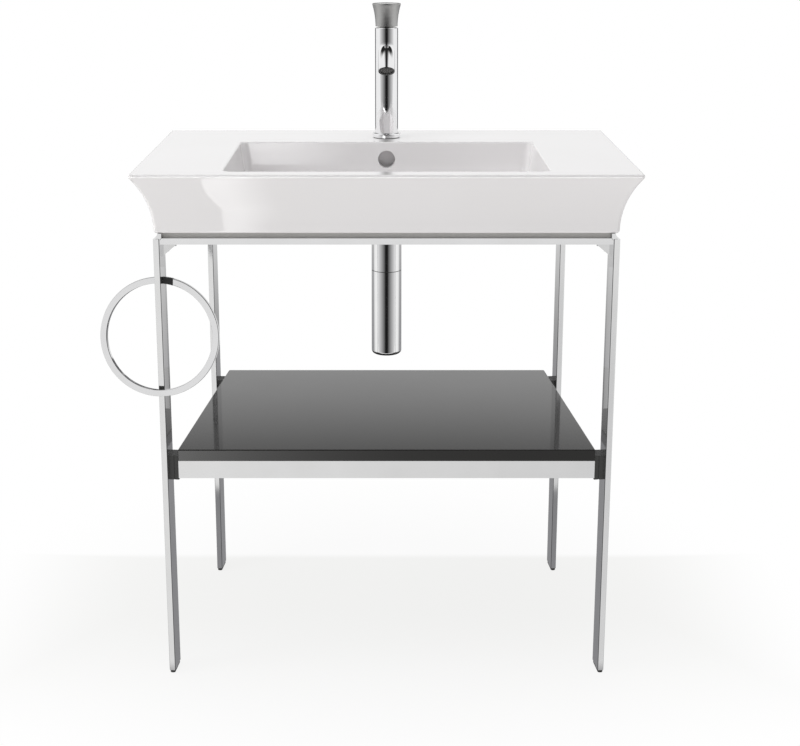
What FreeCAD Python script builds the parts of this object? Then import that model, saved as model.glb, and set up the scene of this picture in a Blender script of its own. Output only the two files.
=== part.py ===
import FreeCAD, Part
import math
import os
import re
import Sketcher

# A floor-standing console washbasin: a ceramic basin with a flared skirt on a
# flat-bar console, with a shelf, a swinging towel ring, a lift-and-turn mixer,
# a push-to-close waste and a bottle trap.

Vector = FreeCAD.Vector
Rotation = FreeCAD.Rotation

os.makedirs("parts", exist_ok=True)
doc = FreeCAD.newDocument("console_basin")
sheet = doc.addObject("Spreadsheet::Sheet", "Sizes")

# Millimetres and degrees. Depths count from the rim's front edge towards the
# wall, heights from the floor, unless the name says otherwise.
SIZES = {
    # Position of the basin's middle plane; the ring makes the outline lopsided.
    "mid_x": 31.2,
    # Gaps: pieces that are joined, pieces that run in each other, pieces that pass.
    "joined": 0.1, "running": 0.06, "passing": 0.4, "tip_gap": 0.5,
    # Basin: rim, skirt and bowl.
    "rim_width": 800, "rim_depth": 490, "rim_height": 865, "rim_edge": 3.5, "rim_round": 2.6,
    "nose_round": 5, "nose_inset": 1.3, "nose_drop": 3.2,
    "skirt_height": 99, "skirt_inset": 31, "skirt_radius": 150, "corner_round": 5,
    "bowl_width": 515, "bowl_length": 308, "bowl_front": 34, "bowl_depth": 75, "bowl_draft": 11,
    "bowl_corner": 14, "bowl_floor_round": 10, "fall_depth": 4, "fall_radius": 110,
    # Basin: hollows below, overflow, holes.
    "ceramic_wall": 14, "deck_thickness": 15, "duct_wall": 32, "duct_half": 18, "duct_depth": 14,
    "duct_gap": 8, "duct_low": 4.5, "duct_tall": 7, "overflow_radius": 15, "overflow_drop": 30,
    "drain_depth": 190, "drain_radius": 22, "seat_radius": 33.5, "seat_depth": 4,
    "tap_depth": 405, "tap_hole_radius": 17.5, "bolt_spacing": 280, "bolt_radius": 7, "bolt_drop": 48,
    # Console: flat bar, side frames drawn in towards the wall.
    "console_inset": 30, "leg_front": 31, "taper": 5.1, "bar_width": 10, "bar_depth": 40,
    "bar_round": 1.2, "leg_drop": 9, "leg_pitch": 406.6, "foot_height": 5, "foot_margin": 0.6,
    "spigot_radius": 3.5, "spigot_length": 14, "rail_height": 10, "rail_setback": 1.5, "rail_chamfer": 3.5,
    "strip_height": 8, "strip_width": 20, "strip_setback": 6, "lug_margin": 4, "lug_reach": 3.5,
    "lug_drop": 2, "gusset_width": 27, "gusset_height": 23, "gusset_depth": 24, "gusset_setback": 15,
    "screw_radius": 2.5, "screw_head_radius": 4, "screw_head": 3, "screw_grip": 7,
    # Shelf: slab on a frame of bars on edge, held off the legs by blocks.
    "shelf_top": 402, "slab_height": 19.5, "shelf_front": 35, "shelf_back": 475, "shelf_rail_height": 30,
    "block_gap": 16, "block_depth": 28, "block_setback": 11, "block_drop": 54, "block_height": 42,
    "block_groove": 1.2, "shelf_bolt_radius": 3, "shelf_bolt_head": 4, "shelf_bolt_head_radius": 4.5,
    "slab_round": 1.5,
    # Towel ring of flat section and its hinge through the left front leg.
    "hinge_drop": 80, "ring_radius": 91.75, "ring_half": 5.25, "ring_depth": 9, "ring_round": 1,
    "ring_offset": 4, "ring_pin": 3, "sleeve_length": 16, "sleeve_swell": 0.25, "ring_pin_grip": 7,
    "bush_radius": 5, "bumper_depth": 2, "bumper_margin": 1, "bumper_height": 16,
    # Mixer, heights above the rim.
    "tap_radius": 20.5, "tap_top": 196, "gasket_height": 1, "base_radius": 24.75, "base_height": 8,
    "base_step": 1.6, "chamber_radius": 15, "tap_floor": 14, "cartridge_low": 168, "cartridge_radius": 17,
    "cartridge_height": 19, "neck_radius": 12, "neck_height": 5, "nut_height": 8, "rotor_radius": 8,
    "rotor_flange": 10, "flange_tall": 5, "rotor_low": 172, "rotor_top": 194,
    "stem_width": 8, "stem_low": 174.5, "stem_top": 228,
    "spout_axis": 158, "spout_radius": 14, "spout_bore": 9, "spout_spigot": 11, "spout_straight": 65,
    "spout_bend": 60, "spout_turn": 57, "aerator_radius": 12, "aerator_lip": 1.5, "aerator_length": 8,
    "aerator_wall": 2, "mesh_length": 5, "mesh_hole": 0.9, "mesh_pitch": 3,
    "handle_low": 198, "handle_top": 238, "handle_low_radius": 19.7, "handle_top_radius": 25.3,
    "handle_curve": 130, "handle_hollow": 17, "handle_hub": 214, "cap_radius": 22.5, "cap_height": 1.6,
    "cap_recess": 2.2, "grub_height": 222, "grub_radius": 2, "grub_length": 9,
    "feed_radius": 4, "feed_spread": 8.5, "feed_drop": 62, "feed_bore": 3, "feed_nut": 7.5,
    "feed_nut_height": 14, "feed_socket": 12, "feed_thread": 5, "stud_radius": 4, "stud_depth": 9,
    "stud_low": 46, "stud_high": 10, "clamp_radius": 23, "clamp_height": 3, "clamp_nut": 7.5,
    "clamp_nut_height": 8,
    # Waste and bottle trap; a drop is the distance below the basin's underside.
    "flange_radius": 32, "flange_height": 3.5, "waste_radius": 20.8, "waste_bore": 17.5, "waste_drop": 31,
    "guide_radius": 6, "guide_length": 24, "guide_drop": 8, "guide_arm": 3, "plug_radius": 30,
    "plug_height": 5, "plug_lift": 10, "plug_dome": 2, "plug_stem": 4, "plug_seal_height": 2,
    "washer_radius": 32, "washer_height": 4, "backnut_radius": 32, "backnut_height": 10,
    "union_drop": 44, "union_height": 27, "trap_radius": 25.5, "neck_tube": 23, "trap_neck": 9,
    "dip_radius": 16, "dip_wall": 1.5, "dip_flange": 2, "dip_clearance": 25, "trap_seal": 2,
    "seam_drop": 95, "seam_height": 1, "cup_drop": 243, "cup_wall": 3, "cup_floor": 4, "cup_round": 6,
    "trap_spigot": 16, "trap_wall": 3, "outlet_drop": 69, "outlet_radius": 16, "outlet_wall": 1.5,
    "outlet_boss": 18.5, "outlet_reach": 44, "outlet_nut": 21.5, "outlet_nut_length": 18,
    "outlet_grip": 14, "insert_length": 60, "insert_mark": 1, "mark_depth": 0.4,
    # Extra length of a cutting shape past the face it opens.
    "spill": 5,
}

# Sizes and heights that follow from the ones above.
DERIVED = {
    "console_half": "=rim_width / 2 - console_inset",
    "base": "=rim_height - skirt_height",
    "leg_top": "=base - leg_drop",
    "hinge_height": "=base - hinge_drop",
    "block_low": "=shelf_top - block_drop",
    "waste_low": "=base - waste_drop",
    "union_low": "=base - union_drop",
    "union_top": "=union_low + union_height",
    "outlet_height": "=base - outlet_drop",
    "trap_seam": "=base - seam_drop",
    "cup_low": "=base - cup_drop",
    "dip_low": "=cup_low + dip_clearance",
    "rail_top": "=base - strip_height",
    "rail_low": "=rail_top - rail_height",
}

for row, (name, size) in enumerate({**SIZES, **DERIVED}.items(), 1):
    sheet.set(f"A{row}", name)
    sheet.set(f"B{row}", str(size))
    sheet.setAlias(f"B{row}", name)
doc.recompute()

WORDS = {"sin", "cos", "acos", "sqrt"}
TURNS = {
    "z": Rotation(),
    "x": Rotation(Vector(0, 1, 0), 90),
    "y": Rotation(Vector(1, 0, 0), -90),
}
HOUSE = ("mid_x", "-rim_depth / 2", "0")
TAP = ("mid_x", "tap_depth - rim_depth / 2", "rim_height")
DRAIN = ("mid_x", "drain_depth - rim_depth / 2", "0")
LEFT, RIGHT = -1, 1
pieces = {}


def number(text):
    """The present value of a sum of sizes."""
    return float(sheet.evalExpression(text))


def bind(item, path, text):
    """Tie one property to a sum of sizes."""
    item.setExpression(path, re.sub(r"[a-z]\w*", sheet_name, text))


def sheet_name(word):
    return word.group() if word.group() in WORDS else "Sizes." + word.group()


def new_body(label, at=HOUSE, axis=None, angle="0"):
    """An empty body in its own frame, turned about one axis if asked."""
    body = doc.addObject("PartDesign::Body", label)
    if axis:
        body.Placement = FreeCAD.Placement(Vector(), Rotation(Vector(*axis), 1))
        bind(body, "Placement.Rotation.Angle", angle)
    for letter, text in zip("xyz", at):
        bind(body, f"Placement.Base.{letter}", text)
    return body


def side_body(label, side):
    """A body in the frame of one console side: x across, y along the side, from the leg's outer corner."""
    corner = (f"mid_x + {side} * console_half", "leg_front - rim_depth / 2", "0")
    return new_body(label, corner, (0, 0, side), "taper")


def inward(side, distance, width="0"):
    """Lower x of something that starts this far in from the leg's outer face."""
    return f"({distance})" if side == LEFT else f"-(({distance}) + ({width}))"


def along(depth, distance):
    """Length along a console side of the point at this depth, this far in from its outer face."""
    return f"(({depth} - leg_front + ({distance}) * sin(taper)) / cos(taper))"


def half_width(depth, distance):
    """Half the width between the two sides at this depth, measured this far in from their outer faces."""
    return f"(console_half - (({distance}) + ({depth} - leg_front) * sin(taper)) / cos(taper))"


def rounded(left, front, right, back, radius):
    """Outline of a rectangle with rounded corners, anticlockwise."""
    turn = (radius, 1)
    return [
        (f"{left} + {radius}", front), (f"{right} - {radius}", front, *turn),
        (right, f"{front} + {radius}"), (right, f"{back} - {radius}", *turn),
        (f"{right} - {radius}", back), (f"{left} + {radius}", back, *turn),
        (left, f"{back} - {radius}"), (left, f"{front} + {radius}", *turn),
    ]


def draw(body, plane, outline, offset="0", closed=True):
    """A sketch of lines and arcs with every corner tied to the sheet.

    A corner with two more entries starts an arc: its radius, and 1 where the
    centre lies to the left of the way to the next corner, -1 to the right.
    """
    sketch = body.newObject("Sketcher::SketchObject", "Outline")
    origin = [item for item in body.Origin.OriginFeatures if item.Role == plane + "_Plane"][0]
    sketch.AttachmentSupport = [(origin, "")]
    sketch.MapMode = "FlatFace"
    bind(sketch, "AttachmentOffset.Base.z", offset)
    corners = [Vector(number(corner[0]), number(corner[1]), 0) for corner in outline]
    edges = len(outline) if closed else len(outline) - 1
    ends = []
    for index in range(edges):
        first, last = corners[index], corners[(index + 1) % len(corners)]
        if len(outline[index]) == 2:
            sketch.addGeometry(Part.LineSegment(first, last))
            ends.append((1, 2))
            continue
        radius, hand = number(outline[index][2]), outline[index][3]
        chord = last - first
        rise = math.sqrt(max(0.0, radius ** 2 - (chord.Length / 2) ** 2))
        centre = first + chord * 0.5 + Vector(-chord.y, chord.x, 0).normalize() * (hand * rise)
        circle = Part.Circle(centre, Vector(0, 0, 1), radius)
        start, stop = (first, last) if hand > 0 else (last, first)
        sketch.addGeometry(Part.ArcOfCircle(circle, circle.parameter(start), circle.parameter(stop)))
        ends.append((1, 2) if hand > 0 else (2, 1))
        rule = sketch.addConstraint(Sketcher.Constraint("Radius", index, radius))
        bind(sketch, f"Constraints[{rule}]", outline[index][2])
    for index in range(edges if closed else edges - 1):
        follower = (index + 1) % edges
        sketch.addConstraint(
            Sketcher.Constraint("Coincident", index, ends[index][1], follower, ends[follower][0]))
    for index, corner in enumerate(outline):
        spot = (index, ends[index][0]) if index < edges else (index - 1, ends[index - 1][1])
        for kind, text in (("DistanceX", corner[0]), ("DistanceY", corner[1])):
            rule = sketch.addConstraint(Sketcher.Constraint(kind, -1, 1, *spot, number(text)))
            bind(sketch, f"Constraints[{rule}]", text)
    return sketch


def prism(body, plane, outline, start, depth, kind="Pad"):
    """Pad or pocket an outline from `start` towards the plane's positive axis."""
    away = plane == "XZ"
    sketch = draw(body, plane, outline, f"-({start})" if away else start)
    feature = body.newObject("PartDesign::" + kind, kind)
    feature.Profile = sketch
    feature.Reversed = away == (kind == "Pad")
    bind(feature, "Length", depth)
    return feature


def lathe(body, outline, kind="Revolution"):
    """Turn an outline of radius and height about the upright axis."""
    sketch = draw(body, "XZ", outline)
    feature = body.newObject("PartDesign::" + kind, kind)
    feature.Profile = sketch
    feature.ReferenceAxis = (sketch, ["V_Axis"])
    feature.Angle = 360
    return feature


def ring_outline(inner, outer, low, high):
    return [(inner, low), (outer, low), (outer, high), (inner, high)]


def hexagon(corner, depth="0"):
    """Outline of a nut's six sides, this far from its middle to a corner."""
    return [(f"{corner} * cos({turn})", f"{depth} + {corner} * sin({turn})") for turn in range(0, 360, 60)]


def form(body, kind, at, sizes, turn=Rotation()):
    """One primitive of a body."""
    item = body.newObject("PartDesign::" + kind, kind)
    item.Placement = FreeCAD.Placement(Vector(), turn)
    for letter, text in zip("xyz", at):
        bind(item, f"Placement.Base.{letter}", text)
    for name, text in sizes.items():
        bind(item, name, text)
    return item


def drill(body, at, radius, depth, axis="z"):
    return form(body, "SubtractiveCylinder", at, {"Radius": radius, "Height": depth}, TURNS[axis])


def through(body, at, radius, length, axis="z"):
    """A round hole right through a wall of this thickness."""
    start = dict(zip("xyz", at))
    start[axis] = f"{start[axis]} - spill"
    return drill(body, tuple(start.values()), radius, f"{length} + 2 * spill", axis)


def peg(body, at, radius, length, axis="z"):
    return form(body, "AdditiveCylinder", at, {"Radius": radius, "Height": length}, TURNS[axis])


def block(body, at, size, kind="AdditiveBox"):
    return form(body, kind, at, dict(zip(("Length", "Width", "Height"), size)))


def hollow(body, at, size):
    return block(body, at, size, "SubtractiveBox")


def ease(body, size, wanted, kind="Fillet"):
    """Round or chamfer the edges for which wanted(edge) holds."""
    doc.recompute()
    base = body.Tip
    names = [f"Edge{place}" for place, edge in enumerate(base.Shape.Edges, 1) if wanted(edge)]
    feature = body.newObject("PartDesign::" + kind, kind)
    feature.Base = (base, names)
    bind(feature, "Radius" if kind == "Fillet" else "Size", size)
    return feature


def level(edge, height):
    """True for an edge that lies at this height."""
    box = edge.BoundBox
    return abs(box.ZMin - height) < 0.01 and abs(box.ZMax - height) < 0.01


def keep(label, body):
    """Hand in one body under its own name."""
    pieces[label] = body


def group(label, bodies):
    """Hand in several equal bodies as one piece."""
    compound = doc.addObject("Part::Compound", label)
    compound.Links = bodies
    pieces[label] = compound


# Basin: the front profile is run across, then the two flanks are cut to the same curve.
basin = new_body("basin")
nose_top = "rim_height - rim_edge"
curve_top = "rim_height - rim_edge - nose_drop"
prism(basin, "YZ", [
    ("skirt_inset", "base"), ("rim_depth", "base"), ("rim_depth", "rim_height"), ("0", "rim_height"),
    ("0", nose_top, "nose_round", 1), ("nose_inset", curve_top, "skirt_radius", -1),
], "-rim_width / 2", "rim_width")
for side in (LEFT, RIGHT):
    prism(basin, "XZ", [
        (f"{side} * rim_width / 2", nose_top, "nose_round", -side),
        (f"{side} * (rim_width / 2 - nose_inset)", curve_top, "skirt_radius", side),
        (f"{side} * (rim_width / 2 - skirt_inset)", "base"),
        (f"{side} * (rim_width / 2 - skirt_inset)", "base - spill"),
        (f"{side} * (rim_width / 2 + spill)", "base - spill"),
        (f"{side} * (rim_width / 2 + spill)", nose_top),
    ], "-spill", "rim_depth + 2 * spill", "Pocket")


def front_corner(edge):
    """True for the upright mitre edges where the front meets a flank."""
    box = edge.BoundBox
    middle = edge.valueAt((edge.FirstParameter + edge.LastParameter) / 2)
    return box.ZLength > 1 and abs(number("rim_width") / 2 - abs(middle.x) - middle.y) < 0.05


def not_at_wall(edge):
    return edge.BoundBox.YMin < number("rim_depth") - 1


ease(basin, "corner_round", front_corner)
ease(basin, "corner_round", lambda edge: level(edge, number("base")) and not_at_wall(edge))
ease(basin, "rim_round", lambda edge: level(edge, number("rim_height")) and not_at_wall(edge))

floor_height = "(rim_height - bowl_depth)"
bowl_back = "(bowl_front + bowl_length)"
mouth = draw(basin, "XY", rounded(
    "-bowl_width / 2", "bowl_front", "bowl_width / 2", bowl_back, "bowl_corner"), "rim_height")
bottom = draw(basin, "XY", rounded(
    "-bowl_width / 2 + bowl_draft", "bowl_front + bowl_draft",
    "bowl_width / 2 - bowl_draft", f"{bowl_back} - bowl_draft", "bowl_corner"), floor_height)
bowl = basin.newObject("PartDesign::SubtractiveLoft", "Bowl")
bowl.Profile = mouth
bowl.Sections = [bottom]
bowl.Ruled = True


def in_bowl(edge):
    box = edge.BoundBox
    return box.YMin > number("bowl_front") - 0.1 and box.YMax < number(bowl_back) + 0.1


ease(basin, "bowl_floor_round", lambda edge: level(edge, number(floor_height)) and in_bowl(edge))
ease(basin, "rim_round", lambda edge: level(edge, number("rim_height")) and in_bowl(edge))

form(basin, "SubtractiveCone", ("0", "drain_depth", f"{floor_height} - fall_depth"), {
    "Radius1": "seat_radius", "Radius2": "fall_radius", "Height": "fall_depth"})
seat_height = f"({floor_height} - fall_depth - seat_depth)"
drill(basin, ("0", "drain_depth", seat_height), "seat_radius", "seat_depth + fall_depth")
drill(basin, ("0", "drain_depth", "base - spill"), "drain_radius", "skirt_height")

# Overflow: a hole in the bowl's back wall, an upright duct and a flat duct to the drain.
duct_front = f"({bowl_back} + duct_gap)"
duct_height = "(base + duct_low)"
drill(basin, ("0", f"{bowl_back} - bowl_draft - spill", "rim_height - overflow_drop"),
      "overflow_radius", "bowl_draft + spill + duct_gap + duct_depth / 2", "y")
hollow(basin, ("-duct_half", duct_front, duct_height),
       ("2 * duct_half", "duct_depth", f"rim_height - ceramic_wall - {duct_height}"))
hollow(basin, ("-drain_radius / 2", "drain_depth", duct_height),
       ("drain_radius", f"{duct_front} + duct_depth / 2 - drain_depth", "duct_tall"))

# Hollows under the rear deck and under both side decks.
hollow_height = "skirt_height - deck_thickness + spill"
hollow_back = "(rim_depth - ceramic_wall)"
hollow(basin, ("-bowl_width / 2", f"{bowl_back} + duct_wall", "base - spill"),
       ("bowl_width", f"{hollow_back} - {bowl_back} - duct_wall", hollow_height))
flank_front = "(skirt_inset + 2 * ceramic_wall)"
flank_width = "(rim_width / 2 - bowl_width / 2 - skirt_inset - 3 * ceramic_wall)"
for side in (LEFT, RIGHT):
    flank_middle = f"{side} * (bowl_width / 2 + ceramic_wall + {flank_width} / 2)"
    hollow(basin, (f"{flank_middle} - {flank_width} / 2", flank_front, "base - spill"),
           (flank_width, f"{hollow_back} - {flank_front}", hollow_height))
    through(basin, (f"{side} * bolt_spacing / 2", hollow_back, "rim_height - bolt_drop"),
            "bolt_radius", "ceramic_wall", "y")
through(basin, ("0", "tap_depth", "rim_height - deck_thickness"), "tap_hole_radius", "deck_thickness")
keep("basin", basin)

# Console legs: flat bar on a push-in foot, with a lug that slopes up to the basin.
block_middle = "block_setback + block_depth / 2"
screw_height = "(rail_low - gusset_height / 2)"
bolt_height = "(shelf_top - slab_height - shelf_rail_height / 2)"
gusset_screw = "gusset_setback + gusset_depth / 3"
feet, gussets, screws, blocks, bolts = [], [], [], [], []


def leg(label, side, start):
    body = side_body(label, side)
    left, right = (("0", "bar_width") if side == LEFT else ("-bar_width", "0"))
    prism(body, "XY", rounded(left, start, right, f"({start} + bar_depth)", "bar_round"),
          "foot_height", "leg_top - foot_height")
    lug = [("lug_margin", "leg_top"), ("bar_width", "leg_top - lug_drop"),
           ("bar_width + lug_reach", "leg_top - lug_drop + lug_reach"),
           ("bar_width + lug_reach", "base"), ("lug_margin + lug_reach", "base")]
    outline = [(inward(side, across), height) for across, height in lug]
    prism(body, "XZ", outline, f"{start} + bar_round", "bar_depth - 2 * bar_round")
    drill(body, (inward(side, "bar_width / 2"), f"{start} + bar_depth / 2", "foot_height - joined"),
          "spigot_radius + joined", "spigot_length + joined")
    screw_spot = (f"{start} + {gusset_screw}", screw_height)
    drill(body, (inward(side, "bar_width - screw_grip", "screw_grip"), *screw_spot),
          "screw_radius + joined", "screw_grip", "x")
    bolt_spot = (f"{start} + {block_middle}", bolt_height)
    drill(body, (inward(side, "bar_width / 2", "bar_width / 2"), *bolt_spot),
          "shelf_bolt_radius + joined", "bar_width / 2", "x")
    keep(label, body)
    return body


def foot(side, start):
    body = side_body("foot", side)
    left = inward(side, "foot_margin", "bar_width - 2 * foot_margin")
    prism(body, "XY", rounded(left, f"({start} + foot_margin)", f"({left} + bar_width - 2 * foot_margin)",
                              f"({start} + bar_depth - foot_margin)", "3 * bar_round"), "0", "foot_height")
    peg(body, (inward(side, "bar_width / 2"), f"{start} + bar_depth / 2", "foot_height - joined"),
        "spigot_radius", "spigot_length - joined")
    ease(body, "bar_round", lambda edge: level(edge, 0))
    feet.append(body)


def gusset(side, start):
    """A three-cornered bracket under the top rail with its two screws."""
    body = side_body("gusset", side)
    tip = "bar_width + gusset_width"
    prism(body, "XZ", [(inward(side, "bar_width"), "rail_low"), (inward(side, tip), "rail_low"),
                       (inward(side, "bar_width"), "rail_low - gusset_height")],
          f"{start} + gusset_setback", "gusset_depth")
    first = f"{start} + {gusset_screw}"
    second = f"{start} + gusset_setback + 2 * gusset_depth / 3 + 1"
    through(body, (inward(side, "bar_width", "gusset_width"), first, screw_height),
            "screw_radius + joined", "gusset_width", "x")
    drill(body, (inward(side, "bar_width + screw_grip", "gusset_width"), first, screw_height),
          "screw_head_radius + joined", "gusset_width", "x")
    under = (inward(side, "bar_width + gusset_width * 0.6"), second)
    through(body, (*under, "rail_low - gusset_height"), "screw_radius + joined", "gusset_height")
    drill(body, (*under, "rail_low - gusset_height"), "screw_head_radius + joined",
          "gusset_height - screw_head - 2")
    gussets.append(body)

    level_screw = side_body("gusset_screw", side)
    reach = "(2 * screw_grip - tip_gap)"
    peg(level_screw, (inward(side, "bar_width - screw_grip + tip_gap", reach), first, screw_height),
        "screw_radius", reach, "x")
    peg(level_screw, (inward(side, "bar_width + screw_grip", "screw_head"), first, screw_height),
        "screw_head_radius", "screw_head", "x")
    upright_screw = side_body("gusset_screw", side)
    seat = "(rail_low - screw_head - 2)"
    peg(upright_screw, (*under, seat), "screw_radius", "screw_head + 2 + screw_grip - tip_gap")
    peg(upright_screw, (*under, f"{seat} - screw_head"), "screw_head_radius", "screw_head")
    screws.extend([level_screw, upright_screw])


def shelf_block(side, start):
    """A dark spacer between leg and shelf frame, with the bolt that runs through it."""
    body = side_body("shelf_block", side)
    width = "(block_gap - 2 * joined)"
    low = inward(side, "bar_width + joined", width)
    block(body, (low, f"{start} + block_setback", "block_low"), (width, "block_depth", "block_height"))
    middle = inward(side, "bar_width + block_gap / 2", "block_groove")
    hollow(body, (middle, f"{start} + block_setback - spill", "block_low - spill"),
           ("block_groove", "spill + block_groove", "block_height + 2 * spill"))
    spot = (f"{start} + {block_middle}", bolt_height)
    through(body, (inward(side, "bar_width", "block_gap"), *spot), "shelf_bolt_radius + joined",
            "block_gap", "x")
    blocks.append(body)

    bolt = side_body("shelf_bolt", side)
    tip = "(bar_width / 2 + tip_gap)"
    head = "(2 * bar_width + block_gap)"
    grip = f"({head} - {tip})"
    peg(bolt, (inward(side, tip, grip), *spot), "shelf_bolt_radius", grip, "x")
    peg(bolt, (inward(side, head, "shelf_bolt_head"), *spot), "shelf_bolt_head_radius",
        "shelf_bolt_head", "x")
    bolts.append(bolt)


for end, start in (("front", "0"), ("rear", "leg_pitch")):
    for name, side in (("left", LEFT), ("right", RIGHT)):
        leg_body = leg(f"leg_{end}_{name}", side, start)
        foot(side, start)
        gusset(side, start)
        shelf_block(side, start)
        if (end, side) == ("front", LEFT):
            through(leg_body, ("0", "bar_depth / 2", "hinge_height"), "bush_radius + joined",
                    "bar_width", "x")
group("feet", feet)
group("gussets", gussets)
group("gusset_screws", screws)
group("shelf_blocks", blocks)
group("shelf_bolts", bolts)

# Top rails: the same bar laid flat between the legs, and dark strips that carry the basin.
leg_back = "(leg_front + bar_depth)"
rear_front = "(leg_front + leg_pitch * cos(taper))"
rear_back = "(leg_front + (leg_pitch + bar_depth) * cos(taper) - 2)"


def across_plan(front, back, distance):
    """Plan outline that spans the console between two depths, this far in from the outer faces."""
    return [(f"-{half_width(front, distance)}", front), (half_width(front, distance), front),
            (half_width(back, distance), back), (f"-{half_width(back, distance)}", back)]


def cross_rail(label, front, back, screw_depth):
    body = new_body(label)
    prism(body, "XY", across_plan(front, back, "bar_width + joined"), "rail_low", "rail_height")
    for side in (LEFT, RIGHT):
        start = "0" if screw_depth == "front" else "leg_pitch"
        run = f"({start} + gusset_setback + 2 * gusset_depth / 3 + 1)"
        inset = "(bar_width + gusset_width * 0.6)"
        spot = (f"{side} * (console_half - {inset} * cos(taper) - {run} * sin(taper))",
                f"leg_front + {run} * cos(taper) - {inset} * sin(taper)")
        drill(body, (*spot, "rail_low - spill"), "screw_radius + joined", "screw_grip + spill")
    ease(body, "rail_chamfer", lambda edge: level(edge, number("rail_top")) and edge.BoundBox.XLength < 10,
         "Chamfer")
    keep(label, body)


def cross_strip(label, front):
    body = new_body(label)
    back = f"({front} + strip_width)"
    prism(body, "XY", across_plan(front, back, "bar_width + 2 * lug_reach"), "rail_top", "strip_height")
    keep(label, body)


def side_plan(side, front, back, near, far):
    """Plan outline of a bar along one console side, its ends cut square to the wall."""
    corners = [(near, along(front, near)), (far, along(front, far)),
               (far, along(back, far)), (near, along(back, near))]
    return [(inward(side, across), run) for across, run in corners]


cross_rail("rail_front", "(leg_front + rail_setback)", leg_back, "front")
cross_rail("rail_rear", rear_front, rear_back, "rear")
cross_strip("bearing_strip_front", "(leg_front + rail_setback + strip_setback)")
cross_strip("bearing_strip_rear", f"({rear_front} + strip_setback)")
side_strips = []
for name, side in (("left", LEFT), ("right", RIGHT)):
    side_rail = side_body(f"rail_{name}", side)
    prism(side_rail, "XY", side_plan(side, f"({leg_back} + 2 * joined)", f"({rear_front} - bar_round)",
                                     "0", "bar_depth"), "rail_low", "rail_height")
    keep(f"rail_{name}", side_rail)
    strip = side_body("side_strip", side)
    prism(strip, "XY", side_plan(side, f"({leg_back} + strip_setback)", f"({rear_front} - strip_setback)",
                                 "lug_margin", "lug_margin + strip_width"), "rail_top", "strip_height")
    side_strips.append(strip)
group("bearing_strips_side", side_strips)

# Shelf: a thick slab on four bars set on edge.
slab_low = "(shelf_top - slab_height)"
shelf_rail_low = f"({slab_low} - shelf_rail_height)"
shelf_edge = "(bar_width + block_gap)"
slab = new_body("shelf_slab")
prism(slab, "XY", across_plan("shelf_front", "shelf_back", shelf_edge), slab_low, "slab_height")
ease(slab, "slab_round", lambda edge: level(edge, number("shelf_top")) or edge.BoundBox.ZLength > 1)
keep("shelf_slab", slab)
for end, front, back in (("front", "shelf_front", "(shelf_front + bar_width)"),
                         ("rear", "(shelf_back - bar_width)", "shelf_back")):
    bar = new_body(f"shelf_rail_{end}")
    prism(bar, "XY", across_plan(front, back, shelf_edge), shelf_rail_low, "shelf_rail_height")
    ease(bar, "bar_round", lambda edge: edge.BoundBox.ZLength > 1)
    keep(f"shelf_rail_{end}", bar)
for name, side in (("left", LEFT), ("right", RIGHT)):
    bar = side_body(f"shelf_rail_{name}", side)
    plan = side_plan(side, "(shelf_front + bar_width + joined)", "(shelf_back - bar_width - joined)",
                     shelf_edge, f"{shelf_edge} + bar_width")
    prism(bar, "XY", plan, shelf_rail_low, "shelf_rail_height")
    for start in ("0", "leg_pitch"):
        through(bar, (inward(side, shelf_edge, "bar_width"), f"{start} + {block_middle}", bolt_height),
                "shelf_bolt_radius + joined", "bar_width", "x")
    keep(f"shelf_rail_{name}", bar)

# Towel ring: a flat ring that hangs from a pin through the left front leg and leans on a bumper.
lean = "((bar_depth / 2 + bumper_depth + ring_half + passing) / (2 * ring_radius))"
upright = f"sqrt(1 - {lean} * {lean})"
sleeve_near = "(bar_width + passing)"


def flat_ring(label, swell):
    """The ring's band, thicker on every side by the swell."""
    body = side_body(label, LEFT)
    half_depth = f"(ring_depth / 2 + {swell})"
    back = ("ring_offset", f"bar_depth / 2 - ring_radius * {lean} + {half_depth} * {upright}",
            f"hinge_height - ring_radius * {upright} - {half_depth} * {lean}")
    for kind, radius in (("AdditiveCylinder", f"ring_radius + ring_half + {swell}"),
                         ("SubtractiveCylinder", f"ring_radius - ring_half - {swell}")):
        disc = form(body, kind, back, {"Radius": radius, "Height": f"2 * {half_depth}"},
                    Rotation(Vector(1, 0, 0), 80))
        bind(disc, "Placement.Rotation.Angle", f"acos({lean})")
    ease(body, "ring_round", lambda edge: edge.Length > number("4 * ring_radius"))
    return body


towel_ring = flat_ring("towel_ring", "0")
hollow(towel_ring, ("-passing", "-bar_depth / 2", "hinge_height - bar_depth"),
       (f"{sleeve_near} + sleeve_length + joined + passing", "2 * bar_depth", "2 * bar_depth"))
drill(towel_ring, ("-ring_pin_grip - passing", "bar_depth / 2", "hinge_height"), "ring_pin + joined",
      "ring_pin_grip + passing", "x")
keep("towel_ring", towel_ring)
sleeve = flat_ring("ring_sleeve", "sleeve_swell")
hollow(sleeve, ("-ring_radius * 2", "-ring_radius * 2", "hinge_height - 3 * ring_radius"),
       (f"ring_radius * 2 + {sleeve_near}", "ring_radius * 4", "ring_radius * 4"))
hollow(sleeve, (f"{sleeve_near} + sleeve_length", "-ring_radius * 2", "hinge_height - 3 * ring_radius"),
       ("ring_radius * 2", "ring_radius * 4", "ring_radius * 4"))
hollow(sleeve, ("0", "-ring_radius * 2", "hinge_height - 3 * ring_radius"),
       ("ring_radius * 2", "ring_radius * 4", "2.5 * ring_radius"))
drill(sleeve, ("0", "bar_depth / 2", "hinge_height"), "ring_pin + joined",
      f"{sleeve_near} + ring_pin_grip", "x")
keep("ring_sleeve", sleeve)
pin = side_body("ring_pin", LEFT)
peg(pin, ("-ring_pin_grip - passing + joined", "bar_depth / 2", "hinge_height"), "ring_pin",
    f"{sleeve_near} + 2 * ring_pin_grip + passing - 2 * joined", "x")
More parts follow.
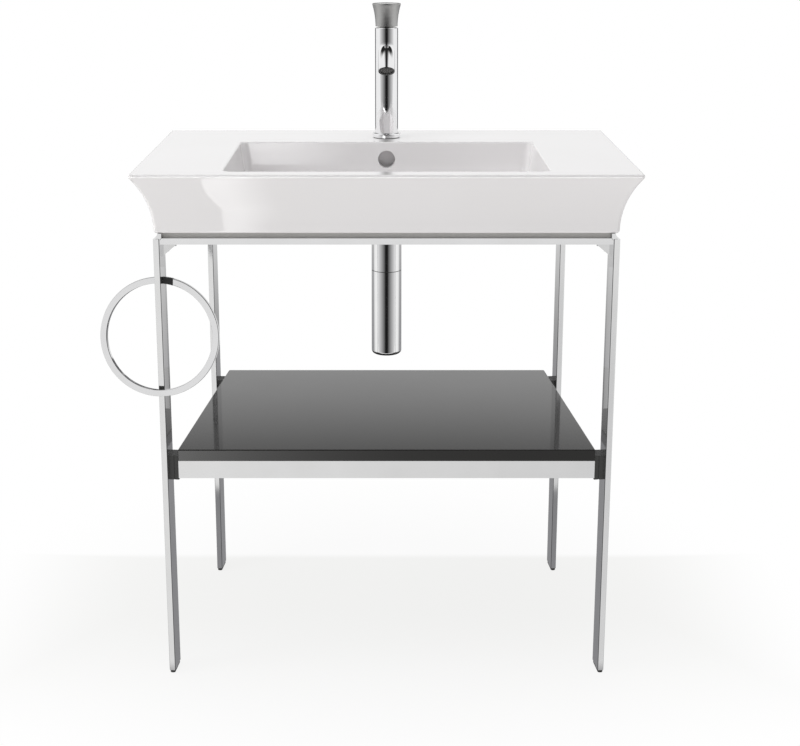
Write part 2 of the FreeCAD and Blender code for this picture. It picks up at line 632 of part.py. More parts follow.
keep("ring_pin", pin)
bush = side_body("ring_bush", LEFT)
peg(bush, ("0", "bar_depth / 2", "hinge_height"), "bush_radius", "bar_width", "x")
through(bush, ("0", "bar_depth / 2", "hinge_height"), "ring_pin + running", "bar_width", "x")
keep("ring_bush", bush)
bumper = side_body("ring_bumper", LEFT)
block(bumper, ("bumper_margin", "-bumper_depth", "hinge_height - 2 * ring_radius - bumper_height / 3"),
      ("bar_width - 2 * bumper_margin", "bumper_depth", "bumper_height"))
ease(bumper, "bumper_depth / 3", lambda edge: edge.BoundBox.YMax < number("-bumper_depth") + 0.01)
keep("ring_bumper", bumper)

# Mixer: body, foot ring, spout, aerator.
gasket = new_body("tap_gasket", TAP)
lathe(gasket, ring_outline("tap_hole_radius", "base_radius - base_step", "0", "gasket_height"))
keep("tap_gasket", gasket)
foot_ring = new_body("tap_foot_ring", TAP)
foot_top = "(gasket_height + base_height)"
lathe(foot_ring, [
    ("tap_radius + joined", "gasket_height"), ("base_radius", "gasket_height"),
    ("base_radius", f"{foot_top} - 2 * base_step", "2 * base_step", 1),
    ("base_radius - 2 * base_step", foot_top), ("tap_radius + joined", foot_top)])
keep("tap_foot_ring", foot_ring)

tap_body = new_body("tap_body", TAP)
bore = "(cartridge_radius + joined)"
lathe(tap_body, [
    ("0", "gasket_height"), ("tap_radius", "gasket_height"), ("tap_radius", "tap_top - 1"),
    ("tap_radius - 1", "tap_top"), (bore, "tap_top"), (bore, "cartridge_low"),
    ("chamber_radius", "cartridge_low"), ("chamber_radius", "tap_floor"), ("0", "tap_floor")])
drill(tap_body, ("0", "-2 * tap_radius", "spout_axis"), "spout_spigot + joined", "2 * tap_radius", "y")
for side in (LEFT, RIGHT):
    through(tap_body, (f"{side} * feed_spread", "0", "gasket_height"), "feed_radius + joined", "tap_floor")
drill(tap_body, ("0", "stud_depth", "gasket_height - spill"), "stud_radius + joined", "stud_high + spill")
keep("tap_body", tap_body)

outlet = ("-spout_straight - spout_bend * sin(spout_turn)",
          "spout_axis - spout_bend * (1 - cos(spout_turn))")
outlet_turn = ((-1, 0, 0), "90 - spout_turn")


def spout_pipe(body, radius, kind):
    """A pipe along the spout: level out of the body, then bent down."""
    profile = body.newObject("Sketcher::SketchObject", "Round")
    plane = [item for item in body.Origin.OriginFeatures if item.Role == "XZ_Plane"][0]
    profile.AttachmentSupport = [(plane, "")]
    profile.MapMode = "FlatFace"
    profile.addGeometry(Part.Circle(Vector(0, number("spout_axis"), 0), Vector(0, 0, 1), number(radius)))
    rules = [("Radius", (0, number(radius)), radius),
             ("DistanceY", (-1, 1, 0, 3, number("spout_axis")), "spout_axis")]
    profile.addConstraint(Sketcher.Constraint("PointOnObject", 0, 3, -2))
    for name, spec, text in rules:
        rule = profile.addConstraint(Sketcher.Constraint(name, *spec))
        bind(profile, f"Constraints[{rule}]", text)
    bends = [("0", "spout_axis"), ("-spout_straight", "spout_axis", "spout_bend", 1), outlet]
    path = draw(body, "YZ", bends, closed=False)
    pipe = body.newObject("PartDesign::" + kind, kind)
    pipe.Profile = profile
    pipe.Spine = (path, ["Edge1", "Edge2"])
    return pipe


spout = new_body("spout", TAP)
spout_pipe(spout, "spout_radius", "AdditivePipe")
drill(spout, ("0", "0", "spout_axis - 2 * spout_radius"), "tap_radius + joined", "4 * spout_radius")
peg(spout, ("0", "-tap_radius - spill", "spout_axis"), "spout_spigot",
    "tap_radius + spill - cartridge_radius - tip_gap", "y")
spout_pipe(spout, "spout_bore", "SubtractivePipe")
seat = form(spout, "SubtractiveCylinder", ("0", *outlet), {
    "Radius": "aerator_radius + joined", "Height": "aerator_length + joined"}, Rotation(Vector(-1, 0, 0), 30))
bind(seat, "Placement.Rotation.Angle", outlet_turn[1])
keep("spout", spout)

outlet_frame = ("mid_x", f"tap_depth - rim_depth / 2 + ({outlet[0]})", f"rim_height + {outlet[1]}")
aerator = new_body("aerator_ring", outlet_frame, *outlet_turn)
aerator_bore = "(aerator_radius - aerator_wall)"
lathe(aerator, [
    (aerator_bore, "-aerator_lip"), ("spout_radius", "-aerator_lip"), ("spout_radius", "0"),
    ("aerator_radius", "0"), ("aerator_radius", "aerator_length"), (aerator_bore, "aerator_length")])
keep("aerator_ring", aerator)
mesh = new_body("aerator_mesh", outlet_frame, *outlet_turn)
peg(mesh, ("0", "0", "0"), f"{aerator_bore} - joined", "mesh_length")
for column in range(-2, 3):
    for line in range(-2, 3):
        if abs(column) + abs(line) < 4:
            through(mesh, (f"{column} * mesh_pitch", f"{line} * mesh_pitch", "0"), "mesh_hole", "mesh_length")
keep("aerator_mesh", mesh)

# Mixer: cartridge with a rotor that only turns, and a square stem that lifts in it.
cartridge = new_body("cartridge", TAP)
cartridge_top = "(cartridge_low + cartridge_height)"
lathe(cartridge, [
    ("0", "cartridge_low"), ("cartridge_radius", "cartridge_low"), ("cartridge_radius", cartridge_top),
    ("neck_radius", cartridge_top), ("neck_radius", f"{cartridge_top} + neck_height"),
    ("rotor_radius + running", f"{cartridge_top} + neck_height"),
    ("rotor_radius + running", "rotor_low + flange_tall"),
    ("rotor_flange + running", "rotor_low + flange_tall"),
    ("rotor_flange + running", "rotor_low"), ("0", "rotor_low")])
keep("cartridge", cartridge)
ring_nut = new_body("cartridge_nut", TAP)
lathe(ring_nut, ring_outline(
    "neck_radius + joined", "cartridge_radius", cartridge_top, f"{cartridge_top} + nut_height"))
keep("cartridge_nut", ring_nut)
rotor = new_body("rotor", TAP)
lathe(rotor, [
    ("0", "rotor_low + running"), ("rotor_flange", "rotor_low + running"),
    ("rotor_flange", "rotor_low + flange_tall - passing"),
    ("rotor_radius", "rotor_low + flange_tall - passing"),
    ("rotor_radius", "rotor_top"), ("0", "rotor_top")])
socket = "(stem_width + 2 * running)"
hollow(rotor, (f"-{socket} / 2", f"-{socket} / 2", "stem_low - running"),
       (socket, socket, "rotor_top - stem_low + spill"))
keep("rotor", rotor)
stem = new_body("stem", TAP)
block(stem, ("-stem_width / 2", "-stem_width / 2", "stem_low"),
      ("stem_width", "stem_width", "stem_top - stem_low"))
keep("stem", stem)
handle = new_body("handle", TAP)
lathe(handle, [
    ("handle_hollow", "handle_low"), ("handle_low_radius", "handle_low", "handle_curve", -1),
    ("handle_top_radius", "handle_top - 2"), ("handle_top_radius", "handle_top - 0.8"),
    ("handle_top_radius - 0.8", "handle_top"), ("cap_radius + joined", "handle_top"),
    ("cap_radius + joined", "handle_top - cap_recess"), ("0", "handle_top - cap_recess"), ("0", "handle_hub"),
    ("handle_hollow", "handle_hub")])
hub_hole = "(stem_width + 2 * joined)"
hollow(handle, (f"-{hub_hole} / 2", f"-{hub_hole} / 2", "handle_hub - spill"),
       (hub_hole, hub_hole, "stem_top + joined - handle_hub + spill"))
drill(handle, ("0", "stem_width / 2", "grub_height"), "grub_radius + joined", "handle_top_radius", "y")
keep("handle", handle)
cap = new_body("handle_cap", TAP)
peg(cap, ("0", "0", "handle_top - cap_recess"), "cap_radius", "cap_height")
ease(cap, "cap_height / 4", lambda edge: level(edge, number("handle_top - cap_recess + cap_height")))
keep("handle_cap", cap)
grub = new_body("grub_screw", TAP)
peg(grub, ("0", "stem_width / 2 + joined", "grub_height"), "grub_radius", "grub_length", "y")
keep("grub_screw", grub)

# Mixer below the deck: two feed tails with their nuts, stud, horseshoe plate and nut.
tails, tail_nuts = [], []
for side in (LEFT, RIGHT):
    spot = (f"{side} * feed_spread", "0")
    tail_end = (*spot, "feed_socket - feed_drop")
    tail_length = "(cartridge_low + feed_drop - feed_socket)"
    tail = new_body("feed_tail", TAP)
    peg(tail, tail_end, "feed_radius", f"{tail_length} - joined")
    through(tail, tail_end, "feed_bore", tail_length)
    tails.append(tail)
    tail_nut = new_body("feed_nut", TAP)
    peg(tail_nut, (*spot, "-feed_drop"), "feed_nut", "feed_nut_height")
    through(tail_nut, (*spot, "-feed_drop"), "feed_radius + joined", "feed_nut_height")
    drill(tail_nut, (*spot, "-feed_drop - spill"), "feed_thread", "feed_socket + spill")
    tail_nuts.append(tail_nut)
group("feed_tails", tails)
group("feed_nuts", tail_nuts)
stud = new_body("tap_stud", TAP)
peg(stud, ("0", "stud_depth", "-stud_low"), "stud_radius", "stud_low + stud_high - joined")
keep("tap_stud", stud)
clamp = new_body("tap_clamp", TAP)
clamp_low = "(-deck_thickness - clamp_height)"
peg(clamp, ("0", "0", clamp_low), "clamp_radius", "clamp_height")
tail_room = "(feed_radius + 1)"
hollow(clamp, (f"-feed_spread - {tail_room}", "-clamp_radius - spill", f"{clamp_low} - spill"),
       (f"2 * (feed_spread + {tail_room})", "clamp_radius + spill + feed_radius - 1",
        "clamp_height + 2 * spill"))
for side in (LEFT, RIGHT):
    hollow(clamp, (f"{side} * feed_spread - {tail_room}", "-spill", f"{clamp_low} - spill"),
           (f"2 * {tail_room}", f"spill + {tail_room}", "clamp_height + 2 * spill"))
through(clamp, ("0", "stud_depth", clamp_low), "stud_radius + joined", "clamp_height")
keep("tap_clamp", clamp)
clamp_nut = new_body("clamp_nut", TAP)
nut_low = f"({clamp_low} - clamp_nut_height)"
prism(clamp_nut, "XY", hexagon("clamp_nut", "stud_depth"), nut_low, "clamp_nut_height")
through(clamp_nut, ("0", "stud_depth", nut_low), "stud_radius + joined", "clamp_nut_height")
keep("clamp_nut", clamp_nut)

# Waste: flanged tube through the bowl floor, with a mushroom plug that is pushed down to close.
flange_top = f"({seat_height} + flange_height)"
waste = new_body("waste_body", DRAIN)
lathe(waste, [
    ("waste_bore", "waste_low"), ("waste_radius", "waste_low"), ("waste_radius", seat_height),
    ("flange_radius", seat_height), ("flange_radius", flange_top), ("waste_bore", flange_top)])
hollow(waste, ("-drain_radius / 2", "0", duct_height), ("drain_radius", "2 * drain_radius", "duct_tall"))
keep("waste_body", waste)
guide = new_body("plug_guide", DRAIN)
guide_top = f"({flange_top} - guide_drop)"
guide_low = f"({guide_top} - guide_length)"
lathe(guide, ring_outline("plug_stem + running", "guide_radius", guide_low, guide_top))
arm_reach = "(waste_bore - joined)"
block(guide, (f"-{arm_reach}", "-guide_arm / 2", guide_low), (f"2 * {arm_reach}", "guide_arm", "guide_arm"))
block(guide, ("-guide_arm / 2", f"-{arm_reach}", guide_low), ("guide_arm", f"2 * {arm_reach}", "guide_arm"))
through(guide, ("0", "0", guide_low), "plug_stem + running", "guide_length")
keep("plug_guide", guide)
plug_low = f"({flange_top} + plug_lift)"
plug_curve = "((plug_radius * plug_radius + plug_dome * plug_dome) / (2 * plug_dome))"
plug = new_body("plug", DRAIN)
lathe(plug, [
    ("0", plug_low), ("plug_radius - 1", plug_low), ("plug_radius", f"{plug_low} + 1"),
    ("plug_radius", f"{plug_low} + plug_height - plug_dome", plug_curve, 1),
    ("0", f"{plug_low} + plug_height")])
stem_length = "(plug_lift + guide_drop + guide_length)"
peg(plug, ("0", "0", f"{plug_low} - {stem_length}"), "plug_stem", f"{stem_length} + 1")
keep("plug", plug)
plug_seal = new_body("plug_seal", DRAIN)
lathe(plug_seal, ring_outline("waste_bore", "waste_bore + 4", f"{plug_low} - plug_seal_height", plug_low))
keep("plug_seal", plug_seal)
washer = new_body("waste_washer", DRAIN)
lathe(washer, ring_outline("waste_radius + joined", "washer_radius", "base - washer_height", "base"))
keep("waste_washer", washer)
backnut = new_body("waste_backnut", DRAIN)
backnut_top = "(base - washer_height)"
backnut_low = f"({backnut_top} - backnut_height)"
prism(backnut, "XY", hexagon("backnut_radius"), backnut_low, "backnut_height")
through(backnut, ("0", "0", backnut_low), "waste_radius + joined", "backnut_height")
keep("waste_backnut", backnut)

# Bottle trap: union nut, dip tube, body, screw-off cup and a straight outlet to the wall.
neck_top = "(union_low + trap_neck)"
union = new_body("trap_union", DRAIN)
lathe(union, [
    ("neck_tube + joined", "union_low"), ("trap_radius", "union_low"), ("trap_radius", "union_top - 1.5"),
    ("trap_radius - 1.5", "union_top"), ("waste_radius + joined", "union_top"),
    ("waste_radius + joined", "waste_low + joined"), ("neck_tube + joined", "waste_low + joined")])
keep("trap_union", union)
dip = new_body("dip_tube", DRAIN)
dip_bore = "(dip_radius - dip_wall)"
lathe(dip, [
    (dip_bore, "dip_low"), ("dip_radius", "dip_low"), ("dip_radius", neck_top), ("neck_tube", neck_top),
    ("neck_tube", f"{neck_top} + dip_flange"), (dip_bore, f"{neck_top} + dip_flange")])
keep("dip_tube", dip)
seal = new_body("trap_seal", DRAIN)
lathe(seal, ring_outline(dip_bore, "neck_tube", f"{neck_top} + dip_flange", "waste_low"))
keep("trap_seal", seal)
trap = new_body("trap_body", DRAIN)
spigot = "(trap_radius - cup_wall - joined)"
trap_bore = f"({spigot} - trap_wall)"
lathe(trap, [
    (trap_bore, "trap_seam - trap_spigot"), (spigot, "trap_seam - trap_spigot"), (spigot, "trap_seam"),
    ("trap_radius", "trap_seam"), ("trap_radius", "union_low"), ("neck_tube", "union_low"),
    ("neck_tube", neck_top), ("dip_radius + joined", neck_top),
    ("dip_radius + joined", "union_low - trap_wall"),
    (trap_bore, "union_low - trap_wall")])
peg(trap, ("0", "trap_radius - trap_wall", "outlet_height"), "outlet_boss",
    "outlet_reach - trap_radius + trap_wall", "y")
drill(trap, ("0", trap_bore, "outlet_height"), "outlet_radius - 2 * outlet_wall", "outlet_reach", "y")
outlet_seat = ("0", "outlet_reach - outlet_grip", "outlet_height")
drill(trap, outlet_seat, "outlet_radius + joined", "outlet_grip + spill", "y")
keep("trap_body", trap)
cup_seal = new_body("cup_seal", DRAIN)
lathe(cup_seal, ring_outline(
    f"{spigot} + joined", "trap_radius - tip_gap", "trap_seam - seam_height", "trap_seam"))
keep("cup_seal", cup_seal)
cup = new_body("trap_cup", DRAIN)
cup_bore = "(trap_radius - cup_wall)"
lathe(cup, [
    ("0", "cup_low"), ("trap_radius - cup_round", "cup_low", "cup_round", 1),
    ("trap_radius", "cup_low + cup_round"), ("trap_radius", "trap_seam - seam_height"),
    (cup_bore, "trap_seam - seam_height"), (cup_bore, "cup_low + cup_floor"), ("0", "cup_low + cup_floor")])
keep("trap_cup", cup)
pipe = new_body("outlet_pipe", DRAIN)
pipe_start = "(outlet_reach - outlet_grip + joined)"
pipe_length = f"(rim_depth - drain_depth - {pipe_start})"
peg(pipe, ("0", pipe_start, "outlet_height"), "outlet_radius", pipe_length, "y")
mark = ("0", "rim_depth - drain_depth - insert_length - insert_mark", "outlet_height")
drill(pipe, mark, "2 * outlet_radius", "insert_mark", "y")
peg(pipe, mark, "outlet_radius - mark_depth", "insert_mark", "y")
through(pipe, ("0", pipe_start, "outlet_height"), "outlet_radius - outlet_wall", pipe_length, "y")
keep("outlet_pipe", pipe)
outlet_nut = new_body("outlet_nut", DRAIN)
peg(outlet_nut, outlet_seat, "outlet_nut", "outlet_nut_length", "y")
drill(outlet_nut, outlet_seat, "outlet_boss + joined", "outlet_grip + joined", "y")
through(outlet_nut, outlet_seat, "outlet_radius + joined", "outlet_nut_length", "y")
keep("outlet_nut", outlet_nut)

doc.recompute()
faults = [item.Name for item in doc.Objects if {"Invalid", "Error"} & set(item.State)]
for label, piece in pieces.items():
    if piece.Shape.isNull() or not piece.Shape.isValid():
        faults.append(label + " has no sound shape")
if faults:
    raise RuntimeError("; ".join(faults))
for label, piece in pieces.items():
    piece.Label = label
    piece.Shape.exportStep(f"parts/{label}.step")
whole = Part.makeCompound([piece.Shape for piece in pieces.values()])
print(len(pieces), "pieces", whole.BoundBox)
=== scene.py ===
# %% [markdown]
# # A console washbasin
#
# The basin, its console, the mixer, the waste and the trap come as finished solids, already in place and
# in metres. This lesson dresses them: it gives every piece the surface of the real material, sets up a
# small photo studio and puts the camera where a catalogue photographer would stand.

# %% Load the solids
import math

import bpy
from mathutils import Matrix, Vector


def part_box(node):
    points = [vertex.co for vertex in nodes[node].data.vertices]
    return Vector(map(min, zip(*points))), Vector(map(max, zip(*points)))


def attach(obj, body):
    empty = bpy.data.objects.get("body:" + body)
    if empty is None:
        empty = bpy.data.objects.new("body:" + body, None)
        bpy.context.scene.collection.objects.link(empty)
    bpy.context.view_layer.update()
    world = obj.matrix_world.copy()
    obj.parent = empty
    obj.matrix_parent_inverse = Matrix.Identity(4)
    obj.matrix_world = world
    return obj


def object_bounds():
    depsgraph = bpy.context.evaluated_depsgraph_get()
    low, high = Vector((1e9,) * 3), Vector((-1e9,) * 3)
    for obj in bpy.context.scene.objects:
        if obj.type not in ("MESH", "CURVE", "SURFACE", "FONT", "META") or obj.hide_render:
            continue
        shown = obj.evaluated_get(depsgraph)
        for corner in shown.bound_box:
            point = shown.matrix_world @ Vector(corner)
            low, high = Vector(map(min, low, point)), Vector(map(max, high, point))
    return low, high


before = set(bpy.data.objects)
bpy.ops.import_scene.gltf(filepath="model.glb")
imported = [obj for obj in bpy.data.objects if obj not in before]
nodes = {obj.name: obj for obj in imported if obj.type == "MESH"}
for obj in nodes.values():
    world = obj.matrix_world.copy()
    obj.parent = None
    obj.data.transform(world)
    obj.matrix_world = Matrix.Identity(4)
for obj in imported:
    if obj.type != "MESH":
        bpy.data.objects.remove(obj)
solid_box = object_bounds()
MIDDLE_X = (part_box("tap_body")[0][0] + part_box("tap_body")[1][0]) / 2
print(len(nodes), "pieces, box", [round(value, 3) for corner in solid_box for value in corner])

# %% [markdown]
# ## Colours and nodes
#
# Colours are written as the hex values that a colour picker shows. A shader works with light, so each one
# is turned into linear values first. One helper adds a shader node, sets its options and fills its
# inputs, either with plain values or with the outputs of other nodes; a colour ramp also gets its stops
# there. That keeps each material below short enough to read as a recipe.

# %% Colours


def linear(hex_colour):
    """Linear red, green, blue and alpha of an sRGB hex colour."""
    parts = [int(hex_colour[place:place + 2], 16) / 255 for place in (1, 3, 5)]
    light = [part / 12.92 if part <= 0.04045 else ((part + 0.055) / 1.055) ** 2.4 for part in parts]
    return (*light, 1.0)


print("middle grey is", [round(value, 3) for value in linear("#808080")])

# %% Nodes


def add(tree, kind, inputs=None, stops=(), **options):
    """A shader node with its options, its inputs and, for a ramp, the colours of its stops from 0 to 1."""
    made = tree.nodes.new("ShaderNode" + kind)
    for name, value in options.items():
        setattr(made, name, value)
    for name, value in (inputs or {}).items():
        if isinstance(value, bpy.types.NodeSocket):
            tree.links.new(value, made.inputs[name])
        else:
            made.inputs[name].default_value = value
    for number, (position, colour) in enumerate(stops):
        if number == 0:
            stop = made.color_ramp.elements[0]
        elif number == len(stops) - 1:
            stop = made.color_ramp.elements[-1]
        else:
            stop = made.color_ramp.elements.new(position)
        stop.color = linear(colour)
    return made


def new_material(name):
    """An empty material, its node tree and the coordinates of the piece in metres."""
    material = bpy.data.materials.new(name)
    material.use_nodes = True
    tree = material.node_tree
    tree.nodes.clear()
    return material, tree, add(tree, "TexCoord").outputs["Object"]


def per_metre(millimetres):
    """Texture scale at which one feature is about this size."""
    return 1000.0 / millimetres


print("a feature of 25 mm has the scale", per_metre(25))

# %% [markdown]
# ## Glazed fireclay
#
# The basin is cast fireclay under a white glaze. The glaze is a layer of glass: it gives sharp but
# slightly wavy reflections, because it flows before it sets. The waves are some 25 mm long and only
# microns high. Modelled waves would need a very fine mesh and would change the solid, so they go into a
# bump with a very small distance. Firing leaves the white a little warmer in places, which a broad soft
# noise gives.

# %% Glaze
glaze, tree, place = new_material("glazed_fireclay")
cloud = add(tree, "TexNoise", {"Vector": place, "Scale": per_metre(180), "Detail": 2.0})
tone = add(tree, "ValToRGB", {"Fac": cloud.outputs["Fac"]}, stops=((0, "#f2f0f0"), (1, "#f7f5f6")))
ripple = add(tree, "TexNoise", {"Vector": place, "Scale": per_metre(25), "Detail": 1.0})
skin = add(tree, "Bump", {"Height": ripple.outputs["Fac"], "Strength": 0.015, "Distance": 0.0002})
smear = add(tree, "MapRange", {"Value": cloud.outputs["Fac"], "To Min": 0.03, "To Max": 0.05})
shader = add(tree, "BsdfPrincipled", {
    "Base Color": tone.outputs["Color"],
    "Roughness": smear.outputs["Result"],
    "IOR": 1.52,
    "Coat Weight": 0.5,
    "Coat Roughness": 0.02,
    "Normal": skin.outputs["Normal"],
})
add(tree, "OutputMaterial", {"Surface": shader.outputs["BSDF"]})
print("made", glaze.name)

# %% [markdown]
# ## Bright plated bar
#
# The legs, rails and the towel ring are flat bar, linished along its length and then plated: a mirror of
# chromium over polished metal. A perfect mirror looks like computer glass, so the roughness varies a
# little, as wiping leaves it, and a faint bump, stretched the way the legs run, keeps a trace of the long
# lines. The lines are drawn 1.6 mm apart, coarser than real ones, so that they show at all.
#
# Each bar has rounded edges of about 1 mm. Where such an edge turns from the front to the inner side it
# mirrors a dark part of the room, and the eye sees a thin dark line down every leg. A reflection that
# small doesn't come out clean, so the line is drawn: the surface normal says where the bar turns to the
# front and to the middle of the object at once.

# %% Plated bar
ALONG_BAR = (1.0, 1.0, 0.04)
bar_plate, tree, place = new_material("plated_linished_bar")
along = add(tree, "Mapping", {"Vector": place, "Scale": ALONG_BAR})
lines = add(tree, "TexNoise", {"Vector": along.outputs["Vector"], "Scale": per_metre(1.6), "Detail": 3.0})
grain = add(tree, "Bump", {"Height": lines.outputs["Fac"], "Strength": 0.04, "Distance": 0.0002})
wiped = add(tree, "TexNoise", {"Vector": place, "Scale": per_metre(60), "Detail": 3.0})
shine = add(tree, "MapRange", {"Value": wiped.outputs["Fac"], "To Min": 0.05, "To Max": 0.11})
tint = add(tree, "ValToRGB", {"Fac": wiped.outputs["Fac"]}, stops=((0, "#dadada"), (1, "#e6e6e7")))
print("lines on the bar:", lines.inputs["Scale"].default_value, "to the metre")

# %% Dark inner edges of the bar
# Each turn: where the line begins to show, and where it is full.
FRONT_TURN = (-0.15, -0.40)
INWARD_TURN = (0.06, 0.14)
facing = add(tree, "SeparateXYZ", {"Vector": add(tree, "TexCoord").outputs["Normal"]})
spot = add(tree, "SeparateXYZ", {"Vector": place})
to_middle = add(tree, "Math", {0: MIDDLE_X, 1: spot.outputs["X"]}, operation="SUBTRACT")
inward = add(tree, "Math", {0: to_middle.outputs["Value"], 1: facing.outputs["X"]}, operation="MULTIPLY")
turns_in = add(tree, "MapRange", {
    "Value": inward.outputs["Value"], "From Min": INWARD_TURN[0], "From Max": INWARD_TURN[1]})
turns_front = add(tree, "MapRange", {
    "Value": facing.outputs["Y"], "From Min": FRONT_TURN[0], "From Max": FRONT_TURN[1]})
edge = add(tree, "Math", {
    0: turns_in.outputs["Result"], 1: turns_front.outputs["Result"]}, operation="MULTIPLY")
edged = add(tree, "Mix", {
    "Factor": edge.outputs["Value"], "A": tint.outputs["Color"], "B": linear("#303031")}, data_type="RGBA")
shader = add(tree, "BsdfPrincipled", {
    "Base Color": edged.outputs["Result"],
    "Metallic": 1.0,
    "Roughness": shine.outputs["Result"],
    "Normal": grain.outputs["Normal"],
})
add(tree, "OutputMaterial", {"Surface": shader.outputs["BSDF"]})
print("made", bar_plate.name)

# %% [markdown]
# ## Satin handle
#
# The mixer's handle is turned and then brushed on the lathe, so fine scratches run round it. They are
# about 0.1 mm apart, too fine to show in this picture, and are drawn at about 0.6 mm. An anisotropic
# shader would stretch the highlight in the same way, but it shows no single scratch. So a noise that is
# stretched across the handle and left fine along its axis gives them, in the colour, in the roughness and
# in a faint bump.

# %% Satin metal
ROUND_HANDLE = (0.05, 0.05, 1.0)
satin, tree, place = new_material("brushed_turned_metal")
rings = add(tree, "Mapping", {"Vector": place, "Scale": ROUND_HANDLE})
scratch = add(tree, "TexNoise", {"Vector": rings.outputs["Vector"], "Scale": per_metre(0.6), "Detail": 4.0})
tint = add(tree, "ValToRGB", {"Fac": scratch.outputs["Fac"]}, stops=((0, "#9f9f9e"), (1, "#c0c0bf")))
shine = add(tree, "MapRange", {"Value": scratch.outputs["Fac"], "To Min": 0.28, "To Max": 0.42})
groove = add(tree, "Bump", {"Height": scratch.outputs["Fac"], "Strength": 0.15, "Distance": 0.0001})
shader = add(tree, "BsdfPrincipled", {
    "Base Color": tint.outputs["Color"],
    "Metallic": 1.0,
    "Roughness": shine.outputs["Result"],
    "Normal": groove.outputs["Normal"],
})
add(tree, "OutputMaterial", {"Surface": shader.outputs["BSDF"]})
print("made", satin.name)

# %% [markdown]
# ## High-gloss lacquer
#
# The shelf is a board under many coats of dark lacquer, polished until it mirrors. The colour is a warm
# anthracite. Polishing leaves a very slight orange peel about 4 mm across. Lacquer has an index of
# refraction of about 1.5. Here two layers of a lower index share the work: straight on, the board stays
# dark, and at a flat angle it still mirrors as strongly as the real one does.

# %% Lacquer
lacquer, tree, place = new_material("polished_dark_lacquer")
cloud = add(tree, "TexNoise", {"Vector": place, "Scale": per_metre(90), "Detail": 4.0})
tone = add(tree, "ValToRGB", {"Fac": cloud.outputs["Fac"]}, stops=((0, "#121110"), (1, "#191816")))
peel = add(tree, "TexNoise", {"Vector": place, "Scale": per_metre(4), "Detail": 1.0})
skin = add(tree, "Bump", {"Height": peel.outputs["Fac"], "Strength": 0.02, "Distance": 0.0002})
shine = add(tree, "MapRange", {"Value": cloud.outputs["Fac"], "To Min": 0.08, "To Max": 0.13})
shader = add(tree, "BsdfPrincipled", {
    "Base Color": tone.outputs["Color"],
    "Roughness": shine.outputs["Result"],
    "IOR": 1.26,
    "Coat Weight": 1.0,
    "Coat IOR": 1.30,
    "Coat Roughness": 0.03,
    "Normal": skin.outputs["Normal"],
})
add(tree, "OutputMaterial", {"Surface": shader.outputs["BSDF"]})
print("made", lacquer.name)

# %% [markdown]
# ## Moulded plastic
#
# The feet, the shelf blocks and some pieces inside the mixer and the waste are moulded ABS. The tool was
# spark-eroded, which leaves a grain just under 1 mm across and a half-matt sheen. The grain drives the
# colour, the roughness and a faint bump, because pits look darker and duller than the skin between them.
# The aerator's mesh is the same plastic in grey, and so small that an even roughness does.

# %% Plastic
plastic, tree, place = new_material("moulded_black_plastic")
pits = add(tree, "TexNoise", {"Vector": place, "Scale": per_metre(0.9), "Detail": 3.0})
tone = add(tree, "ValToRGB", {"Fac": pits.outputs["Fac"]}, stops=((0, "#2c2c2b"), (1, "#3a3a39")))
relief = add(tree, "Bump", {"Height": pits.outputs["Fac"], "Strength": 0.1, "Distance": 0.0001})
shine = add(tree, "MapRange", {"Value": pits.outputs["Fac"], "To Min": 0.2, "To Max": 0.3})
shader = add(tree, "BsdfPrincipled", {
    "Base Color": tone.outputs["Color"],
    "Roughness": shine.outputs["Result"],
    "IOR": 1.49,
    "Normal": relief.outputs["Normal"],
})
add(tree, "OutputMaterial", {"Surface": shader.outputs["BSDF"]})

mesh_plastic, tree, place = new_material("moulded_grey_plastic")
pits = add(tree, "TexNoise", {"Vector": place, "Scale": per_metre(0.9), "Detail": 3.0})
tone = add(tree, "ValToRGB", {"Fac": pits.outputs["Fac"]}, stops=((0, "#4c4c4b"), (1, "#656563")))
shader = add(tree, "BsdfPrincipled", {"Base Color": tone.outputs["Color"], "Roughness": 0.45, "IOR": 1.49})
add(tree, "OutputMaterial", {"Surface": shader.outputs["BSDF"]})
print("made", plastic.name, mesh_plastic.name)

# %% [markdown]
# ## Plain finishes
#
# The other finishes are simpler: one noise, as large as the marks that wiping, dust or a tool leave on
# the real surface, varies the colour between two tones and the roughness between two values. Copying the
# recipe nine times would hide how little they differ, so a function makes them all, with one line for
# each.
#
# - The gussets are pressed sheet, plated without much polishing, and a little darker than the bars.
# - The mixer, the waste and the trap are turned brass under the brightest plating of all.
# - The cap on the handle is fine turned, so it is lighter and smoother than the brushed grip.
# - The ring's sleeve and bush and the aerator's ring are black nylon, smooth and deep black.
# - The seals and the bumper are black rubber, dull and slightly dusty.
# - The strips under the basin are grey rubber, paler, and in the shade of the basin.
# - The pieces inside the mixer and the waste are machined brass, nickel-plated brass and zinc-plated
#   steel. They hardly show, but a lifted handle or a view from below finds them.

# %% A function for plain finishes, and the first of them
METAL = {"Metallic": 1.0}


def plain_finish(name, mark_mm, detail, tones, roughness, own):
    """A material whose marks vary its colour and roughness; own holds the shader's other values."""
    material, tree, place = new_material(name)
    marks = add(tree, "TexNoise", {"Vector": place, "Scale": per_metre(mark_mm), "Detail": detail})
    tone = add(tree, "ValToRGB", {"Fac": marks.outputs["Fac"]}, stops=((0, tones[0]), (1, tones[1])))
    shine = add(tree, "MapRange", {
        "Value": marks.outputs["Fac"], "To Min": roughness[0], "To Max": roughness[1]})
    shader = add(tree, "BsdfPrincipled", {
        "Base Color": tone.outputs["Color"], "Roughness": shine.outputs["Result"], **own})
    add(tree, "OutputMaterial", {"Surface": shader.outputs["BSDF"]})
    print("made", material.name)
    return material


sheet_plate = plain_finish("plated_pressed_sheet", 30, 3.0, ("#d0d0d0", "#dadadb"), (0.08, 0.14), METAL)

